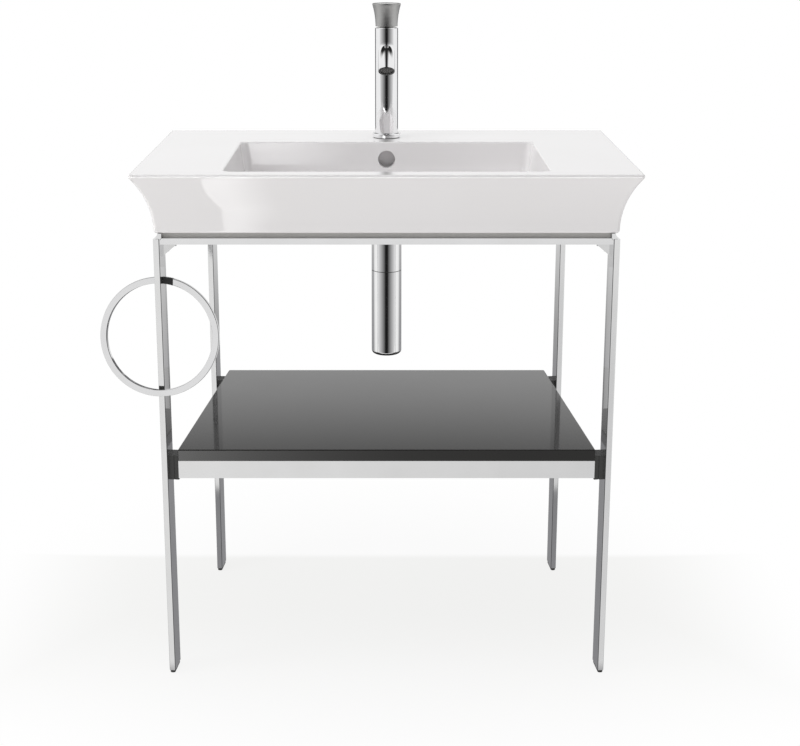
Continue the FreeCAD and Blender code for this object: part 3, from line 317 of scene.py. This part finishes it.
# %% Plain metals
# Each one: name, size of the marks in mm, detail of the noise, two tones, two roughnesses, other values.
fitting_plate = plain_finish("plated_brass_fitting", 30, 3.0, ("#eeeeef", "#f5f5f6"), (0.03, 0.06), METAL)
cap_metal = plain_finish("fine_turned_cap", 3, 4.0, ("#c4c4c2", "#d6d6d4"), (0.22, 0.32), METAL)
brass = plain_finish("machined_brass", 1.5, 3.0, ("#b08d4a", "#cba864"), (0.25, 0.4), METAL)
nickel = plain_finish("nickel_plated_brass", 1.5, 3.0, ("#c2c0ba", "#d3d1cb"), (0.2, 0.3), METAL)
steel = plain_finish("zinc_plated_steel", 2, 3.0, ("#a2a4a6", "#bcbdbe"), (0.28, 0.42), METAL)

# %% Nylon and rubber
NYLON = {"IOR": 1.5}
RUBBER = {"IOR": 1.5}
nylon = plain_finish("black_nylon", 0.9, 3.0, ("#0c0c0c", "#161616"), (0.25, 0.35), NYLON)
rubber = plain_finish("black_sealing_rubber", 5, 5.0, ("#2a2a29", "#41413f"), (0.6, 0.8), RUBBER)
pad_rubber = plain_finish("grey_pad_rubber", 6, 5.0, ("#bdbcba", "#c9c8c5"), (0.6, 0.8), RUBBER)

# %% [markdown]
# ## Dress the pieces
#
# Each piece of the assembly keeps its solid and only gets a material. The list below says which finish
# goes where; a piece that is in no line would keep the plain colour it came with, so the cell counts what
# is left over.

# %% Give each piece its finish
FINISHES = {
    glaze: ["basin"],
    bar_plate: [
        "leg_front_left", "leg_front_right", "leg_rear_left", "leg_rear_right",
        "rail_front", "rail_rear", "rail_left", "rail_right",
        "shelf_rail_front", "shelf_rail_rear", "shelf_rail_left", "shelf_rail_right", "towel_ring"],
    sheet_plate: ["gussets"],
    fitting_plate: [
        "tap_body", "tap_foot_ring", "spout", "waste_body", "plug", "trap_union", "trap_body",
        "trap_cup", "outlet_pipe", "outlet_nut"],
    satin: ["handle"],
    cap_metal: ["handle_cap"],
    lacquer: ["shelf_slab"],
    plastic: ["feet", "shelf_blocks", "plug_guide", "cartridge", "rotor", "dip_tube"],
    mesh_plastic: ["aerator_mesh"],
    nylon: ["ring_sleeve", "ring_bush", "aerator_ring"],
    pad_rubber: ["bearing_strip_front", "bearing_strip_rear", "bearing_strips_side"],
    rubber: ["tap_gasket", "plug_seal", "waste_washer", "trap_seal", "cup_seal", "ring_bumper"],
    brass: ["feed_tails", "feed_nuts", "waste_backnut"],
    nickel: ["cartridge_nut", "stem"],
    steel: ["gusset_screws", "shelf_bolts", "tap_clamp", "clamp_nut", "tap_stud", "ring_pin", "grub_screw"],
}
for material, names in FINISHES.items():
    for name in names:
        slots = nodes[name].data.materials
        slots.clear()
        slots.append(material)
left_over = set(nodes) - {name for names in FINISHES.values() for name in names}
print("pieces without a finish:", sorted(left_over))

# %% [markdown]
# ## End pads of the front strip
#
# The rubber strip on the front rail is closed at both ends by a small pad against the leg's lug. A scaled
# cube would do for a square end, but the strip's ends are slanted. So the four corners of each end are
# taken from the strip itself and copied sideways by the width of the gap, and the eight points make a
# closed box that fits.

# %% End pads
END_GAP = 0.0033
SIX_FACES = [(0, 1, 3, 2), (4, 6, 7, 5), (0, 4, 5, 1), (2, 3, 7, 6), (0, 2, 6, 4), (1, 5, 7, 3)]
strip_corners = {tuple(vertex.co) for vertex in nodes["bearing_strip_front"].data.vertices}
for name, side in (("end_pad_left", -1), ("end_pad_right", 1)):
    inner = [corner for corner in strip_corners if side * (corner[0] - MIDDLE_X) > 0]
    inner.sort(key=lambda corner: corner[1:])
    outer = [(x + side * END_GAP, y, z) for x, y, z in inner]
    mesh = bpy.data.meshes.new(name)
    mesh.from_pydata(inner + outer, [], SIX_FACES)
    if side > 0:
        mesh.flip_normals()
    mesh.materials.append(pad_rubber)
    pad = bpy.data.objects.new(name, mesh)
    bpy.context.scene.collection.objects.link(pad)
    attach(pad, "console")
    print("pad", name, len(inner), "corners on the strip")

# %% [markdown]
# ## Floor
#
# The studio floor is a pale matt sheet that begins at the wall. Its glow carries a painted shade: a faint
# grey from under the object back to the foot of the wall, which runs out into white at the front and on
# both sides. Only a trace of shadow near the feet should show. A shadow catcher would do that too, but it
# needs a second step after the render, so most of the sheet glows by itself and a smaller part is lit.

# %% Floor
WALL_Y = solid_box[1][1]
FLOOR_SIZE = (9.0, 8.0)
FLOOR_MIDDLE = (0.0, 0.5, -0.0005)
bpy.ops.mesh.primitive_plane_add(size=1.0, location=FLOOR_MIDDLE)
floor = bpy.context.object
floor.name = "studio_floor"
floor.scale = (*FLOOR_SIZE, 1.0)
floor_paint, tree, place = new_material("matt_studio_floor")
where = add(tree, "NewGeometry").outputs["Position"]
spot = add(tree, "SeparateXYZ", {"Vector": where})
sideways = add(tree, "Math", {0: spot.outputs["X"], 1: MIDDLE_X}, operation="SUBTRACT")
aside = add(tree, "Math", {0: sideways.outputs["Value"]}, operation="ABSOLUTE")
mottle = add(tree, "TexNoise", {"Vector": place, "Scale": per_metre(150), "Detail": 3.0})
tone = add(tree, "ValToRGB", {"Fac": mottle.outputs["Fac"]}, stops=((0, "#f3f2f1"), (1, "#f6f5f4")))
matt = add(tree, "BsdfDiffuse", {"Color": tone.outputs["Color"]})
print("floor", FLOOR_SIZE, "m")

# %% Floor as the camera sees it
# Each fade: what is measured, where the sheet begins to turn white, where it is white.
FADES = (
    (spot.outputs["Y"], 0.05, -0.45),
    (spot.outputs["Y"], WALL_Y, WALL_Y + 0.03),
    (aside.outputs["Value"], 0.45, 0.80),
)
LEAST_GLOW = 0.92
GLOW_REACH = (0.30, 0.85)
whiteness = 0.0
for measured, begins, ends in FADES:
    fade = add(tree, "MapRange", {"Value": measured, "From Min": begins, "From Max": ends},
               interpolation_type="SMOOTHSTEP")
    whiter = add(tree, "Math", {0: fade.outputs["Result"], 1: whiteness}, operation="MAXIMUM")
    whiteness = whiter.outputs["Value"]
# Painted shade: the glow is a faint grey from under the object back to the wall, and white where the fades
# reach.
sheet = add(tree, "Mix", {
    "Factor": whiteness, "A": linear("#f6f6f5"), "B": linear("#ffffff")}, data_type="RGBA")
glow = add(tree, "Emission", {"Color": sheet.outputs["Result"], "Strength": 1.0})
far = add(tree, "VectorMath", {0: where}, operation="LENGTH")
glow_share = add(tree, "MapRange", {
    "Value": far.outputs["Value"], "From Min": GLOW_REACH[0], "From Max": GLOW_REACH[1],
    "To Min": LEAST_GLOW, "To Max": 1.0}, interpolation_type="SMOOTHSTEP")
seen_floor = add(tree, "MixShader", {
    0: glow_share.outputs["Result"], 1: matt.outputs["BSDF"], 2: glow.outputs["Emission"]})
print("fades of the floor:", len(FADES))

# %% [markdown]
# ## Floor in reflections
#
# Polished bars only look solid if their sides are darker than their fronts. Photographers lay a grey card
# behind the object for that. A second sheet, hidden from the camera, could lie there too, but its edges
# would be hard. So the same sheet is grey in a soft-edged wedge that opens towards the back. The wedge
# starts at the fronts of the legs, so that these stay light down to the feet. The Light Path node
# keeps all this to reflections: the camera sees the plain floor, and a third, even glow stands for the
# light that the floor throws back.

# %% Grey wedge behind the legs' fronts
LEG_FRONT_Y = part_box("leg_front_left")[0][1]
WEDGE_START = (LEG_FRONT_Y - 0.045, LEG_FRONT_Y + 0.015)
WEDGE_TIP_Y = -0.60
WEDGE_SIDES = (math.radians(44), math.radians(72))
WEDGE_DEPTH = (-0.2, 4.0)
behind = add(tree, "Math", {0: spot.outputs["Y"], 1: WEDGE_TIP_Y}, operation="SUBTRACT")
bearing = add(tree, "Math", {0: aside.outputs["Value"], 1: behind.outputs["Value"]}, operation="ARCTAN2")
wedge = add(tree, "MapRange", {
    "Value": bearing.outputs["Value"], "From Min": WEDGE_SIDES[0], "From Max": WEDGE_SIDES[1],
    "To Min": 1.0, "To Max": 0.0}, interpolation_type="SMOOTHSTEP")
inside = add(tree, "MapRange", {
    "Value": spot.outputs["Y"], "From Min": WEDGE_START[0], "From Max": WEDGE_START[1]},
    interpolation_type="SMOOTHSTEP")
grey_share = add(tree, "Math", {
    0: wedge.outputs["Result"], 1: inside.outputs["Result"]}, operation="MULTIPLY")
depth = add(tree, "MapRange", {
    "Value": spot.outputs["Y"], "From Min": WEDGE_DEPTH[0], "From Max": WEDGE_DEPTH[1]})
card_grey = add(tree, "ValToRGB", {"Fac": depth.outputs["Result"]}, stops=(
    (0, "#909092"), (0.38, "#979799"), (0.52, "#ababab"), (0.69, "#cccccc"), (1, "#f2f2f2")))
print("wedge starts at y", [round(value, 3) for value in WEDGE_START])

# %% Floor as polished metal and the glaze see it
FRONT_WIDTH = (-0.5, 1.5)
BOUNCE = 1.05
left_to_right = add(tree, "MapRange", {
    "Value": spot.outputs["X"], "From Min": FRONT_WIDTH[0], "From Max": FRONT_WIDTH[1]})
front_light = add(tree, "ValToRGB", {"Fac": left_to_right.outputs["Result"]}, stops=(
    (0, "#f8f8f7"), (0.7, "#e2e2e2"), (1, "#f8f8f7")))
mirrored = add(tree, "Mix", {
    "Factor": grey_share.outputs["Value"], "A": front_light.outputs["Color"],
    "B": card_grey.outputs["Color"]}, data_type="RGBA")
card = add(tree, "Emission", {"Color": mirrored.outputs["Result"], "Strength": 1.0})
bounce = add(tree, "Emission", {"Color": tone.outputs["Color"], "Strength": BOUNCE})
ray = add(tree, "LightPath")
unseen_floor = add(tree, "MixShader", {
    0: ray.outputs["Is Glossy Ray"], 1: bounce.outputs["Emission"], 2: card.outputs["Emission"]})
whole_floor = add(tree, "MixShader", {
    0: ray.outputs["Is Camera Ray"], 1: unseen_floor.outputs["Shader"], 2: seen_floor.outputs["Shader"]})
add(tree, "OutputMaterial", {"Surface": whole_floor.outputs["Shader"]})
floor.data.materials.append(floor_paint)
print("made", floor_paint.name)

# %% [markdown]
# ## Surroundings
#
# Bright metal only shows what stands around it, so the surroundings matter more than the lamps. A picture
# of a studio, wrapped round the scene, is the usual way. A few nodes do the same without a file, and each
# patch of light can be put where it is needed. In reflections the room is white up to a little above eye
# level. Overhead there is a dark gap between two white sides, narrow to the front and wide to the back,
# as between two rows of ceiling panels. The camera sees plain white. For the soft light on matt surfaces
# the room is brighter on the left than on the right, which shades the bowl and the skirt from side to
# side.

# %% Room
world = bpy.data.worlds.new("studio_room")
bpy.context.scene.world = world
world.use_nodes = True
tree = world.node_tree
tree.nodes.clear()
towards = add(tree, "SeparateXYZ", {"Vector": add(tree, "TexCoord").outputs["Generated"]})
off_middle = add(tree, "Math", {0: towards.outputs["X"]}, operation="ABSOLUTE")
pitch = add(tree, "Math", {0: towards.outputs["Z"], 1: towards.outputs["Y"]}, operation="ARCTAN2")
print("world", world.name)

# %% Dark gap overhead
WHITE_LEVEL = 0.94
DARK_LEVEL = 0.02
# Each gap: how far to the side it stays dark, and where it is white. A look straight sideways counts as 1.
NARROW_GAP = (0.10, 0.45)
WIDE_GAP = (0.45, 0.75)
# Pitch up from the back wall at which the gap narrows, and height at which the white wall ends.
BACK_TO_FRONT = (math.radians(50), math.radians(70))
WALL_TOP = (math.sin(math.radians(17)), math.sin(math.radians(23.5)))
gap_levels = []
for begins, ends in (WIDE_GAP, NARROW_GAP):
    gap = add(tree, "MapRange", {
        "Value": off_middle.outputs["Value"], "From Min": begins, "From Max": ends,
        "To Min": DARK_LEVEL, "To Max": WHITE_LEVEL}, interpolation_type="SMOOTHSTEP")
    gap_levels.append(gap.outputs["Result"])
forward = add(tree, "MapRange", {
    "Value": pitch.outputs["Value"], "From Min": BACK_TO_FRONT[0], "From Max": BACK_TO_FRONT[1]},
    interpolation_type="SMOOTHSTEP")
overhead = add(tree, "Mix", {
    "Factor": forward.outputs["Result"], "A": gap_levels[0], "B": gap_levels[1]}, data_type="FLOAT")
above = add(tree, "MapRange", {
    "Value": towards.outputs["Z"], "From Min": WALL_TOP[0], "From Max": WALL_TOP[1]},
    interpolation_type="SMOOTHSTEP")
ceiling = add(tree, "Mix", {
    "Factor": above.outputs["Result"], "A": WHITE_LEVEL, "B": overhead.outputs["Result"]}, data_type="FLOAT")
print("room mirrored from", DARK_LEVEL, "to", WHITE_LEVEL)

# %% Room as soft light and as background
SOFT_LEVELS = (0.80, 0.24)
soft = add(tree, "MapRange", {
    "Value": towards.outputs["X"], "From Min": -1.0, "From Max": 1.0,
    "To Min": SOFT_LEVELS[0], "To Max": SOFT_LEVELS[1]})
ray = add(tree, "LightPath")
unseen = add(tree, "Mix", {
    "Factor": ray.outputs["Is Diffuse Ray"], "A": ceiling.outputs["Result"],
    "B": soft.outputs["Result"]}, data_type="FLOAT")
level = add(tree, "Mix", {
    "Factor": ray.outputs["Is Camera Ray"], "A": unseen.outputs["Result"], "B": 1.0}, data_type="FLOAT")
backdrop = add(tree, "Background", {"Color": linear("#ffffff"), "Strength": level.outputs["Result"]})
add(tree, "OutputWorld", {"Surface": backdrop.outputs["Background"]})
print("soft light from left to right", SOFT_LEVELS)

# %% [markdown]
# ## Dark flags and a card
#
# Two dark flags hang in front of the object, one for the mixer and one for the trap, and a grey card
# stands far behind the mixer. Round fittings show a flag as a dark streak down their middle that runs out
# into white, and the card as a thin dark line along their edges, and that is what makes plating look like
# plating. Each flag is black in its middle and paler towards its sides, by the angle at which a fitting
# sees it, and its outer part is see-through. Flags and card take part in reflections only.

# %% Flag cloth
# Each tone stands at the angle, in degrees, at which a fitting sees it beside the flag's middle.
FLAG_TONES = {
    0: "#191919", 8: "#1f1f1f", 10: "#272727", 16: "#595959", 24: "#797979", 33: "#939393", 41: "#a8a8a8",
    50: "#bcbcbc", 59: "#d0d0d0", 68: "#e1e1e1", 75: "#ededed"}
FLAG_EDGE = math.tan(math.radians(max(FLAG_TONES)))
SOLID_PART = 0.75
tones = [(math.tan(math.radians(degrees)) / FLAG_EDGE, colour) for degrees, colour in FLAG_TONES.items()]
flag_cloth, tree = new_material("graded_black_flag")[:2]
across = add(tree, "SeparateXYZ", {"Vector": add(tree, "TexCoord").outputs["Generated"]})
offset = add(tree, "Math", {0: across.outputs["X"], 1: 0.5}, operation="SUBTRACT")
to_side = add(tree, "Math", {0: offset.outputs["Value"]}, operation="ABSOLUTE")
from_middle = add(tree, "Math", {0: to_side.outputs["Value"], 1: 2.0}, operation="MULTIPLY")
grade = add(tree, "ValToRGB", {"Fac": from_middle.outputs["Value"]}, stops=tones)
cloth = add(tree, "Emission", {"Color": grade.outputs["Color"], "Strength": 1.0})
solid = add(tree, "MapRange", {
    "Value": from_middle.outputs["Value"], "From Min": SOLID_PART, "From Max": 1.0,
    "To Min": 1.0, "To Max": 0.0}, interpolation_type="SMOOTHSTEP")
clear = add(tree, "BsdfTransparent")
veil = add(tree, "MixShader", {
    0: solid.outputs["Result"], 1: clear.outputs["BSDF"], 2: cloth.outputs["Emission"]})
add(tree, "OutputMaterial", {"Surface": veil.outputs["Shader"]})
print("made", flag_cloth.name)

# %% Hang the flags and stand the card up
card_paint, tree = new_material("grey_card")[:2]
grey = add(tree, "Emission", {"Color": linear("#6c6c6e"), "Strength": 1.0})
add(tree, "OutputMaterial", {"Surface": grey.outputs["Emission"]})
# Each one: middle, width and height, finish.
FLAGS = {
    "flag_for_trap": ((MIDDLE_X, -0.185, 0.585), (0.78, 0.24), flag_cloth),
    "flag_for_mixer": ((MIDDLE_X, -0.62, 1.500), (5.70, 1.54), flag_cloth),
    "card_behind_mixer": ((MIDDLE_X, 2.20, 0.700), (4.20, 0.44), card_paint),
}
UPRIGHT = (math.pi / 2, 0.0, 0.0)
for name, (position, size, paint) in FLAGS.items():
    bpy.ops.mesh.primitive_plane_add(size=1.0, location=position, rotation=UPRIGHT)
    flag = bpy.context.object
    flag.name = name
    flag.scale = (*size, 1.0)
    flag.visible_camera = flag.visible_diffuse = flag.visible_shadow = False
    flag.visible_transmission = flag.visible_volume_scatter = False
    flag.data.materials.append(paint)
    print("flag", name, size)

# %% [markdown]
# ## Lamps
#
# Three large soft lamps light the object: one overhead and one on each side. The left one is much the
# stronger, so that the two flanks of the skirt and the two sides of the bowl don't look alike, and the
# right one only opens the shadows. Together with the white room they light a white surface to just under
# white, so that the glaze keeps its shading. The plated pieces mirror the room and not the lamps, which
# would put hard white bars on them.

# %% Lamps


def area_lamp(name, position, size, watts):
    """The object that holds a rectangular lamp, at its place."""
    lamp = bpy.data.lights.new(name, "AREA")
    lamp.shape = "RECTANGLE"
    lamp.size, lamp.size_y = size
    lamp.energy = watts
    holder = bpy.data.objects.new(name, lamp)
    bpy.context.scene.collection.objects.link(holder)
    holder.location = position
    return holder


# Each one: place, width and height, watts.
LAMPS = {
    "overhead": ((0.0, -0.1, 2.6), (1.8, 1.4), 11.0),
    "left_side": ((-2.2, -0.8, 1.4), (0.9, 1.8), 17.0),
    "right_side": ((2.2, -0.6, 1.3), (0.9, 1.8), 1.0),
}
AIM = Vector((0.0, 0.0, 0.7))
for name, (position, size, watts) in LAMPS.items():
    holder = area_lamp(name, position, size, watts)
    holder.rotation_euler = (AIM - Vector(position)).to_track_quat("-Z", "Y").to_euler()
    holder.visible_glossy = False
    print("lamp", name, watts, "W")

# %% [markdown]
# ## Lights that only show as reflections
#
# Glaze and lacquer come alive through what they mirror. Two narrow strips on the floor in front, one
# behind the other, make one bright streak down the left of the skirt, with a hard left edge and a soft
# right one. A wide strip beside them makes the polished front of the shelf lighter on the left. A thin
# bar draws the light line along the rim's rounded nose, and a small panel brightens the left of the
# bowl's back wall. Each light is linked to its own piece, because the bars would mirror it too, and takes
# part in reflections only. Its strength falls across its width by the lamp's own nodes: it holds full
# strength over the first share of the width, and then falls to the end share along a power curve.

# %% Mirrored lights
# Each one: place, turn in degrees, size, radiance, (held share, end share, power), piece that mirrors it.
MIRRORED_LIGHTS = {
    "near_strip_for_skirt": (
        (-0.292, -0.74, 0.01), (180, 0, 0.1), (0.14, 0.84), 2.0, (0.35, 0.0, 1.0), "basin"),
    "far_strip_for_skirt": (
        (-0.435, -2.66, 0.01), (180, 0, -5.4), (0.14, 3.04), 2.0, (0.35, 0.0, 1.0), "basin"),
    "strip_for_shelf": (
        (-0.20, -1.25, 0.01), (180, 0, 0), (1.20, 0.80), 8.3, (0.0, 0.0, 3.0), "shelf_slab"),
    "bar_for_nose": (
        (MIDDLE_X, -0.30, 0.840), (90, 0, 0), (0.90, 0.024), 6.0, (0.0, 1.0, 1.0), "basin"),
    "panel_for_bowl": (
        (-0.225, -0.55, 0.92), (90, 0, 0), (0.35, 0.12), 3.3, (0.4, 0.0, 1.0), "basin"),
}
for name, (position, turn, size, radiance, (held, end, power), receiver) in MIRRORED_LIGHTS.items():
    holder = area_lamp(name, position, size, radiance * math.pi * size[0] * size[1])
    holder.rotation_euler = [math.radians(angle) for angle in turn]
    holder.visible_camera = holder.visible_diffuse = False
    holder.data.use_nodes = True
    tree = holder.data.node_tree
    across = add(tree, "SeparateXYZ", {"Vector": add(tree, "NewGeometry").outputs["Parametric"]})
    fade = add(tree, "MapRange", {
        "Value": across.outputs["X"], "From Min": held, "To Min": 1.0, "To Max": end})
    curve = add(tree, "Math", {0: fade.outputs["Result"], 1: power}, operation="POWER")
    tree.links.new(curve.outputs["Value"], tree.nodes["Emission"].inputs["Strength"])
    mirror = bpy.data.collections.new("mirrors_" + name)
    mirror.objects.link(nodes[receiver])
    holder.light_linking.receiver_collection = mirror
    print("light", name, "for", receiver)

# %% [markdown]
# ## Camera
#
# The photographer stood in front of the object's middle, with the camera a good way above the rim and
# tipped down. The picture is 800 pixels wide, and a focal length of 1475 of these pixels gives the lens
# on a 36 mm sensor. A small shift keeps the feet inside the frame without tipping the camera further,
# which would draw the legs together.

# %% Camera
PICTURE_WIDTH = 800.0
FOCAL_PIXELS = 1475.0
STAND_BACK = 2.250
EYE_HEIGHT = 1.254
# In radians, about 14 degrees.
TIP_DOWN = 0.2469
RIM_FRONT = solid_box[0][1]
lens = bpy.data.cameras.new("studio_camera")
lens.sensor_width = 36.0
lens.lens = FOCAL_PIXELS / PICTURE_WIDTH * lens.sensor_width
lens.shift_x = 0.0168
lens.shift_y = -0.1075
camera = bpy.data.objects.new("studio_camera", lens)
bpy.context.scene.collection.objects.link(camera)
camera.location = (MIDDLE_X, RIM_FRONT - STAND_BACK, EYE_HEIGHT)
camera.rotation_euler = (math.pi / 2 - TIP_DOWN, 0.0, 0.0)
bpy.context.scene.camera = camera
bpy.context.scene.view_settings.view_transform = "Standard"
print("camera", [round(value, 3) for value in camera.location], "lens", round(lens.lens, 1), "mm")
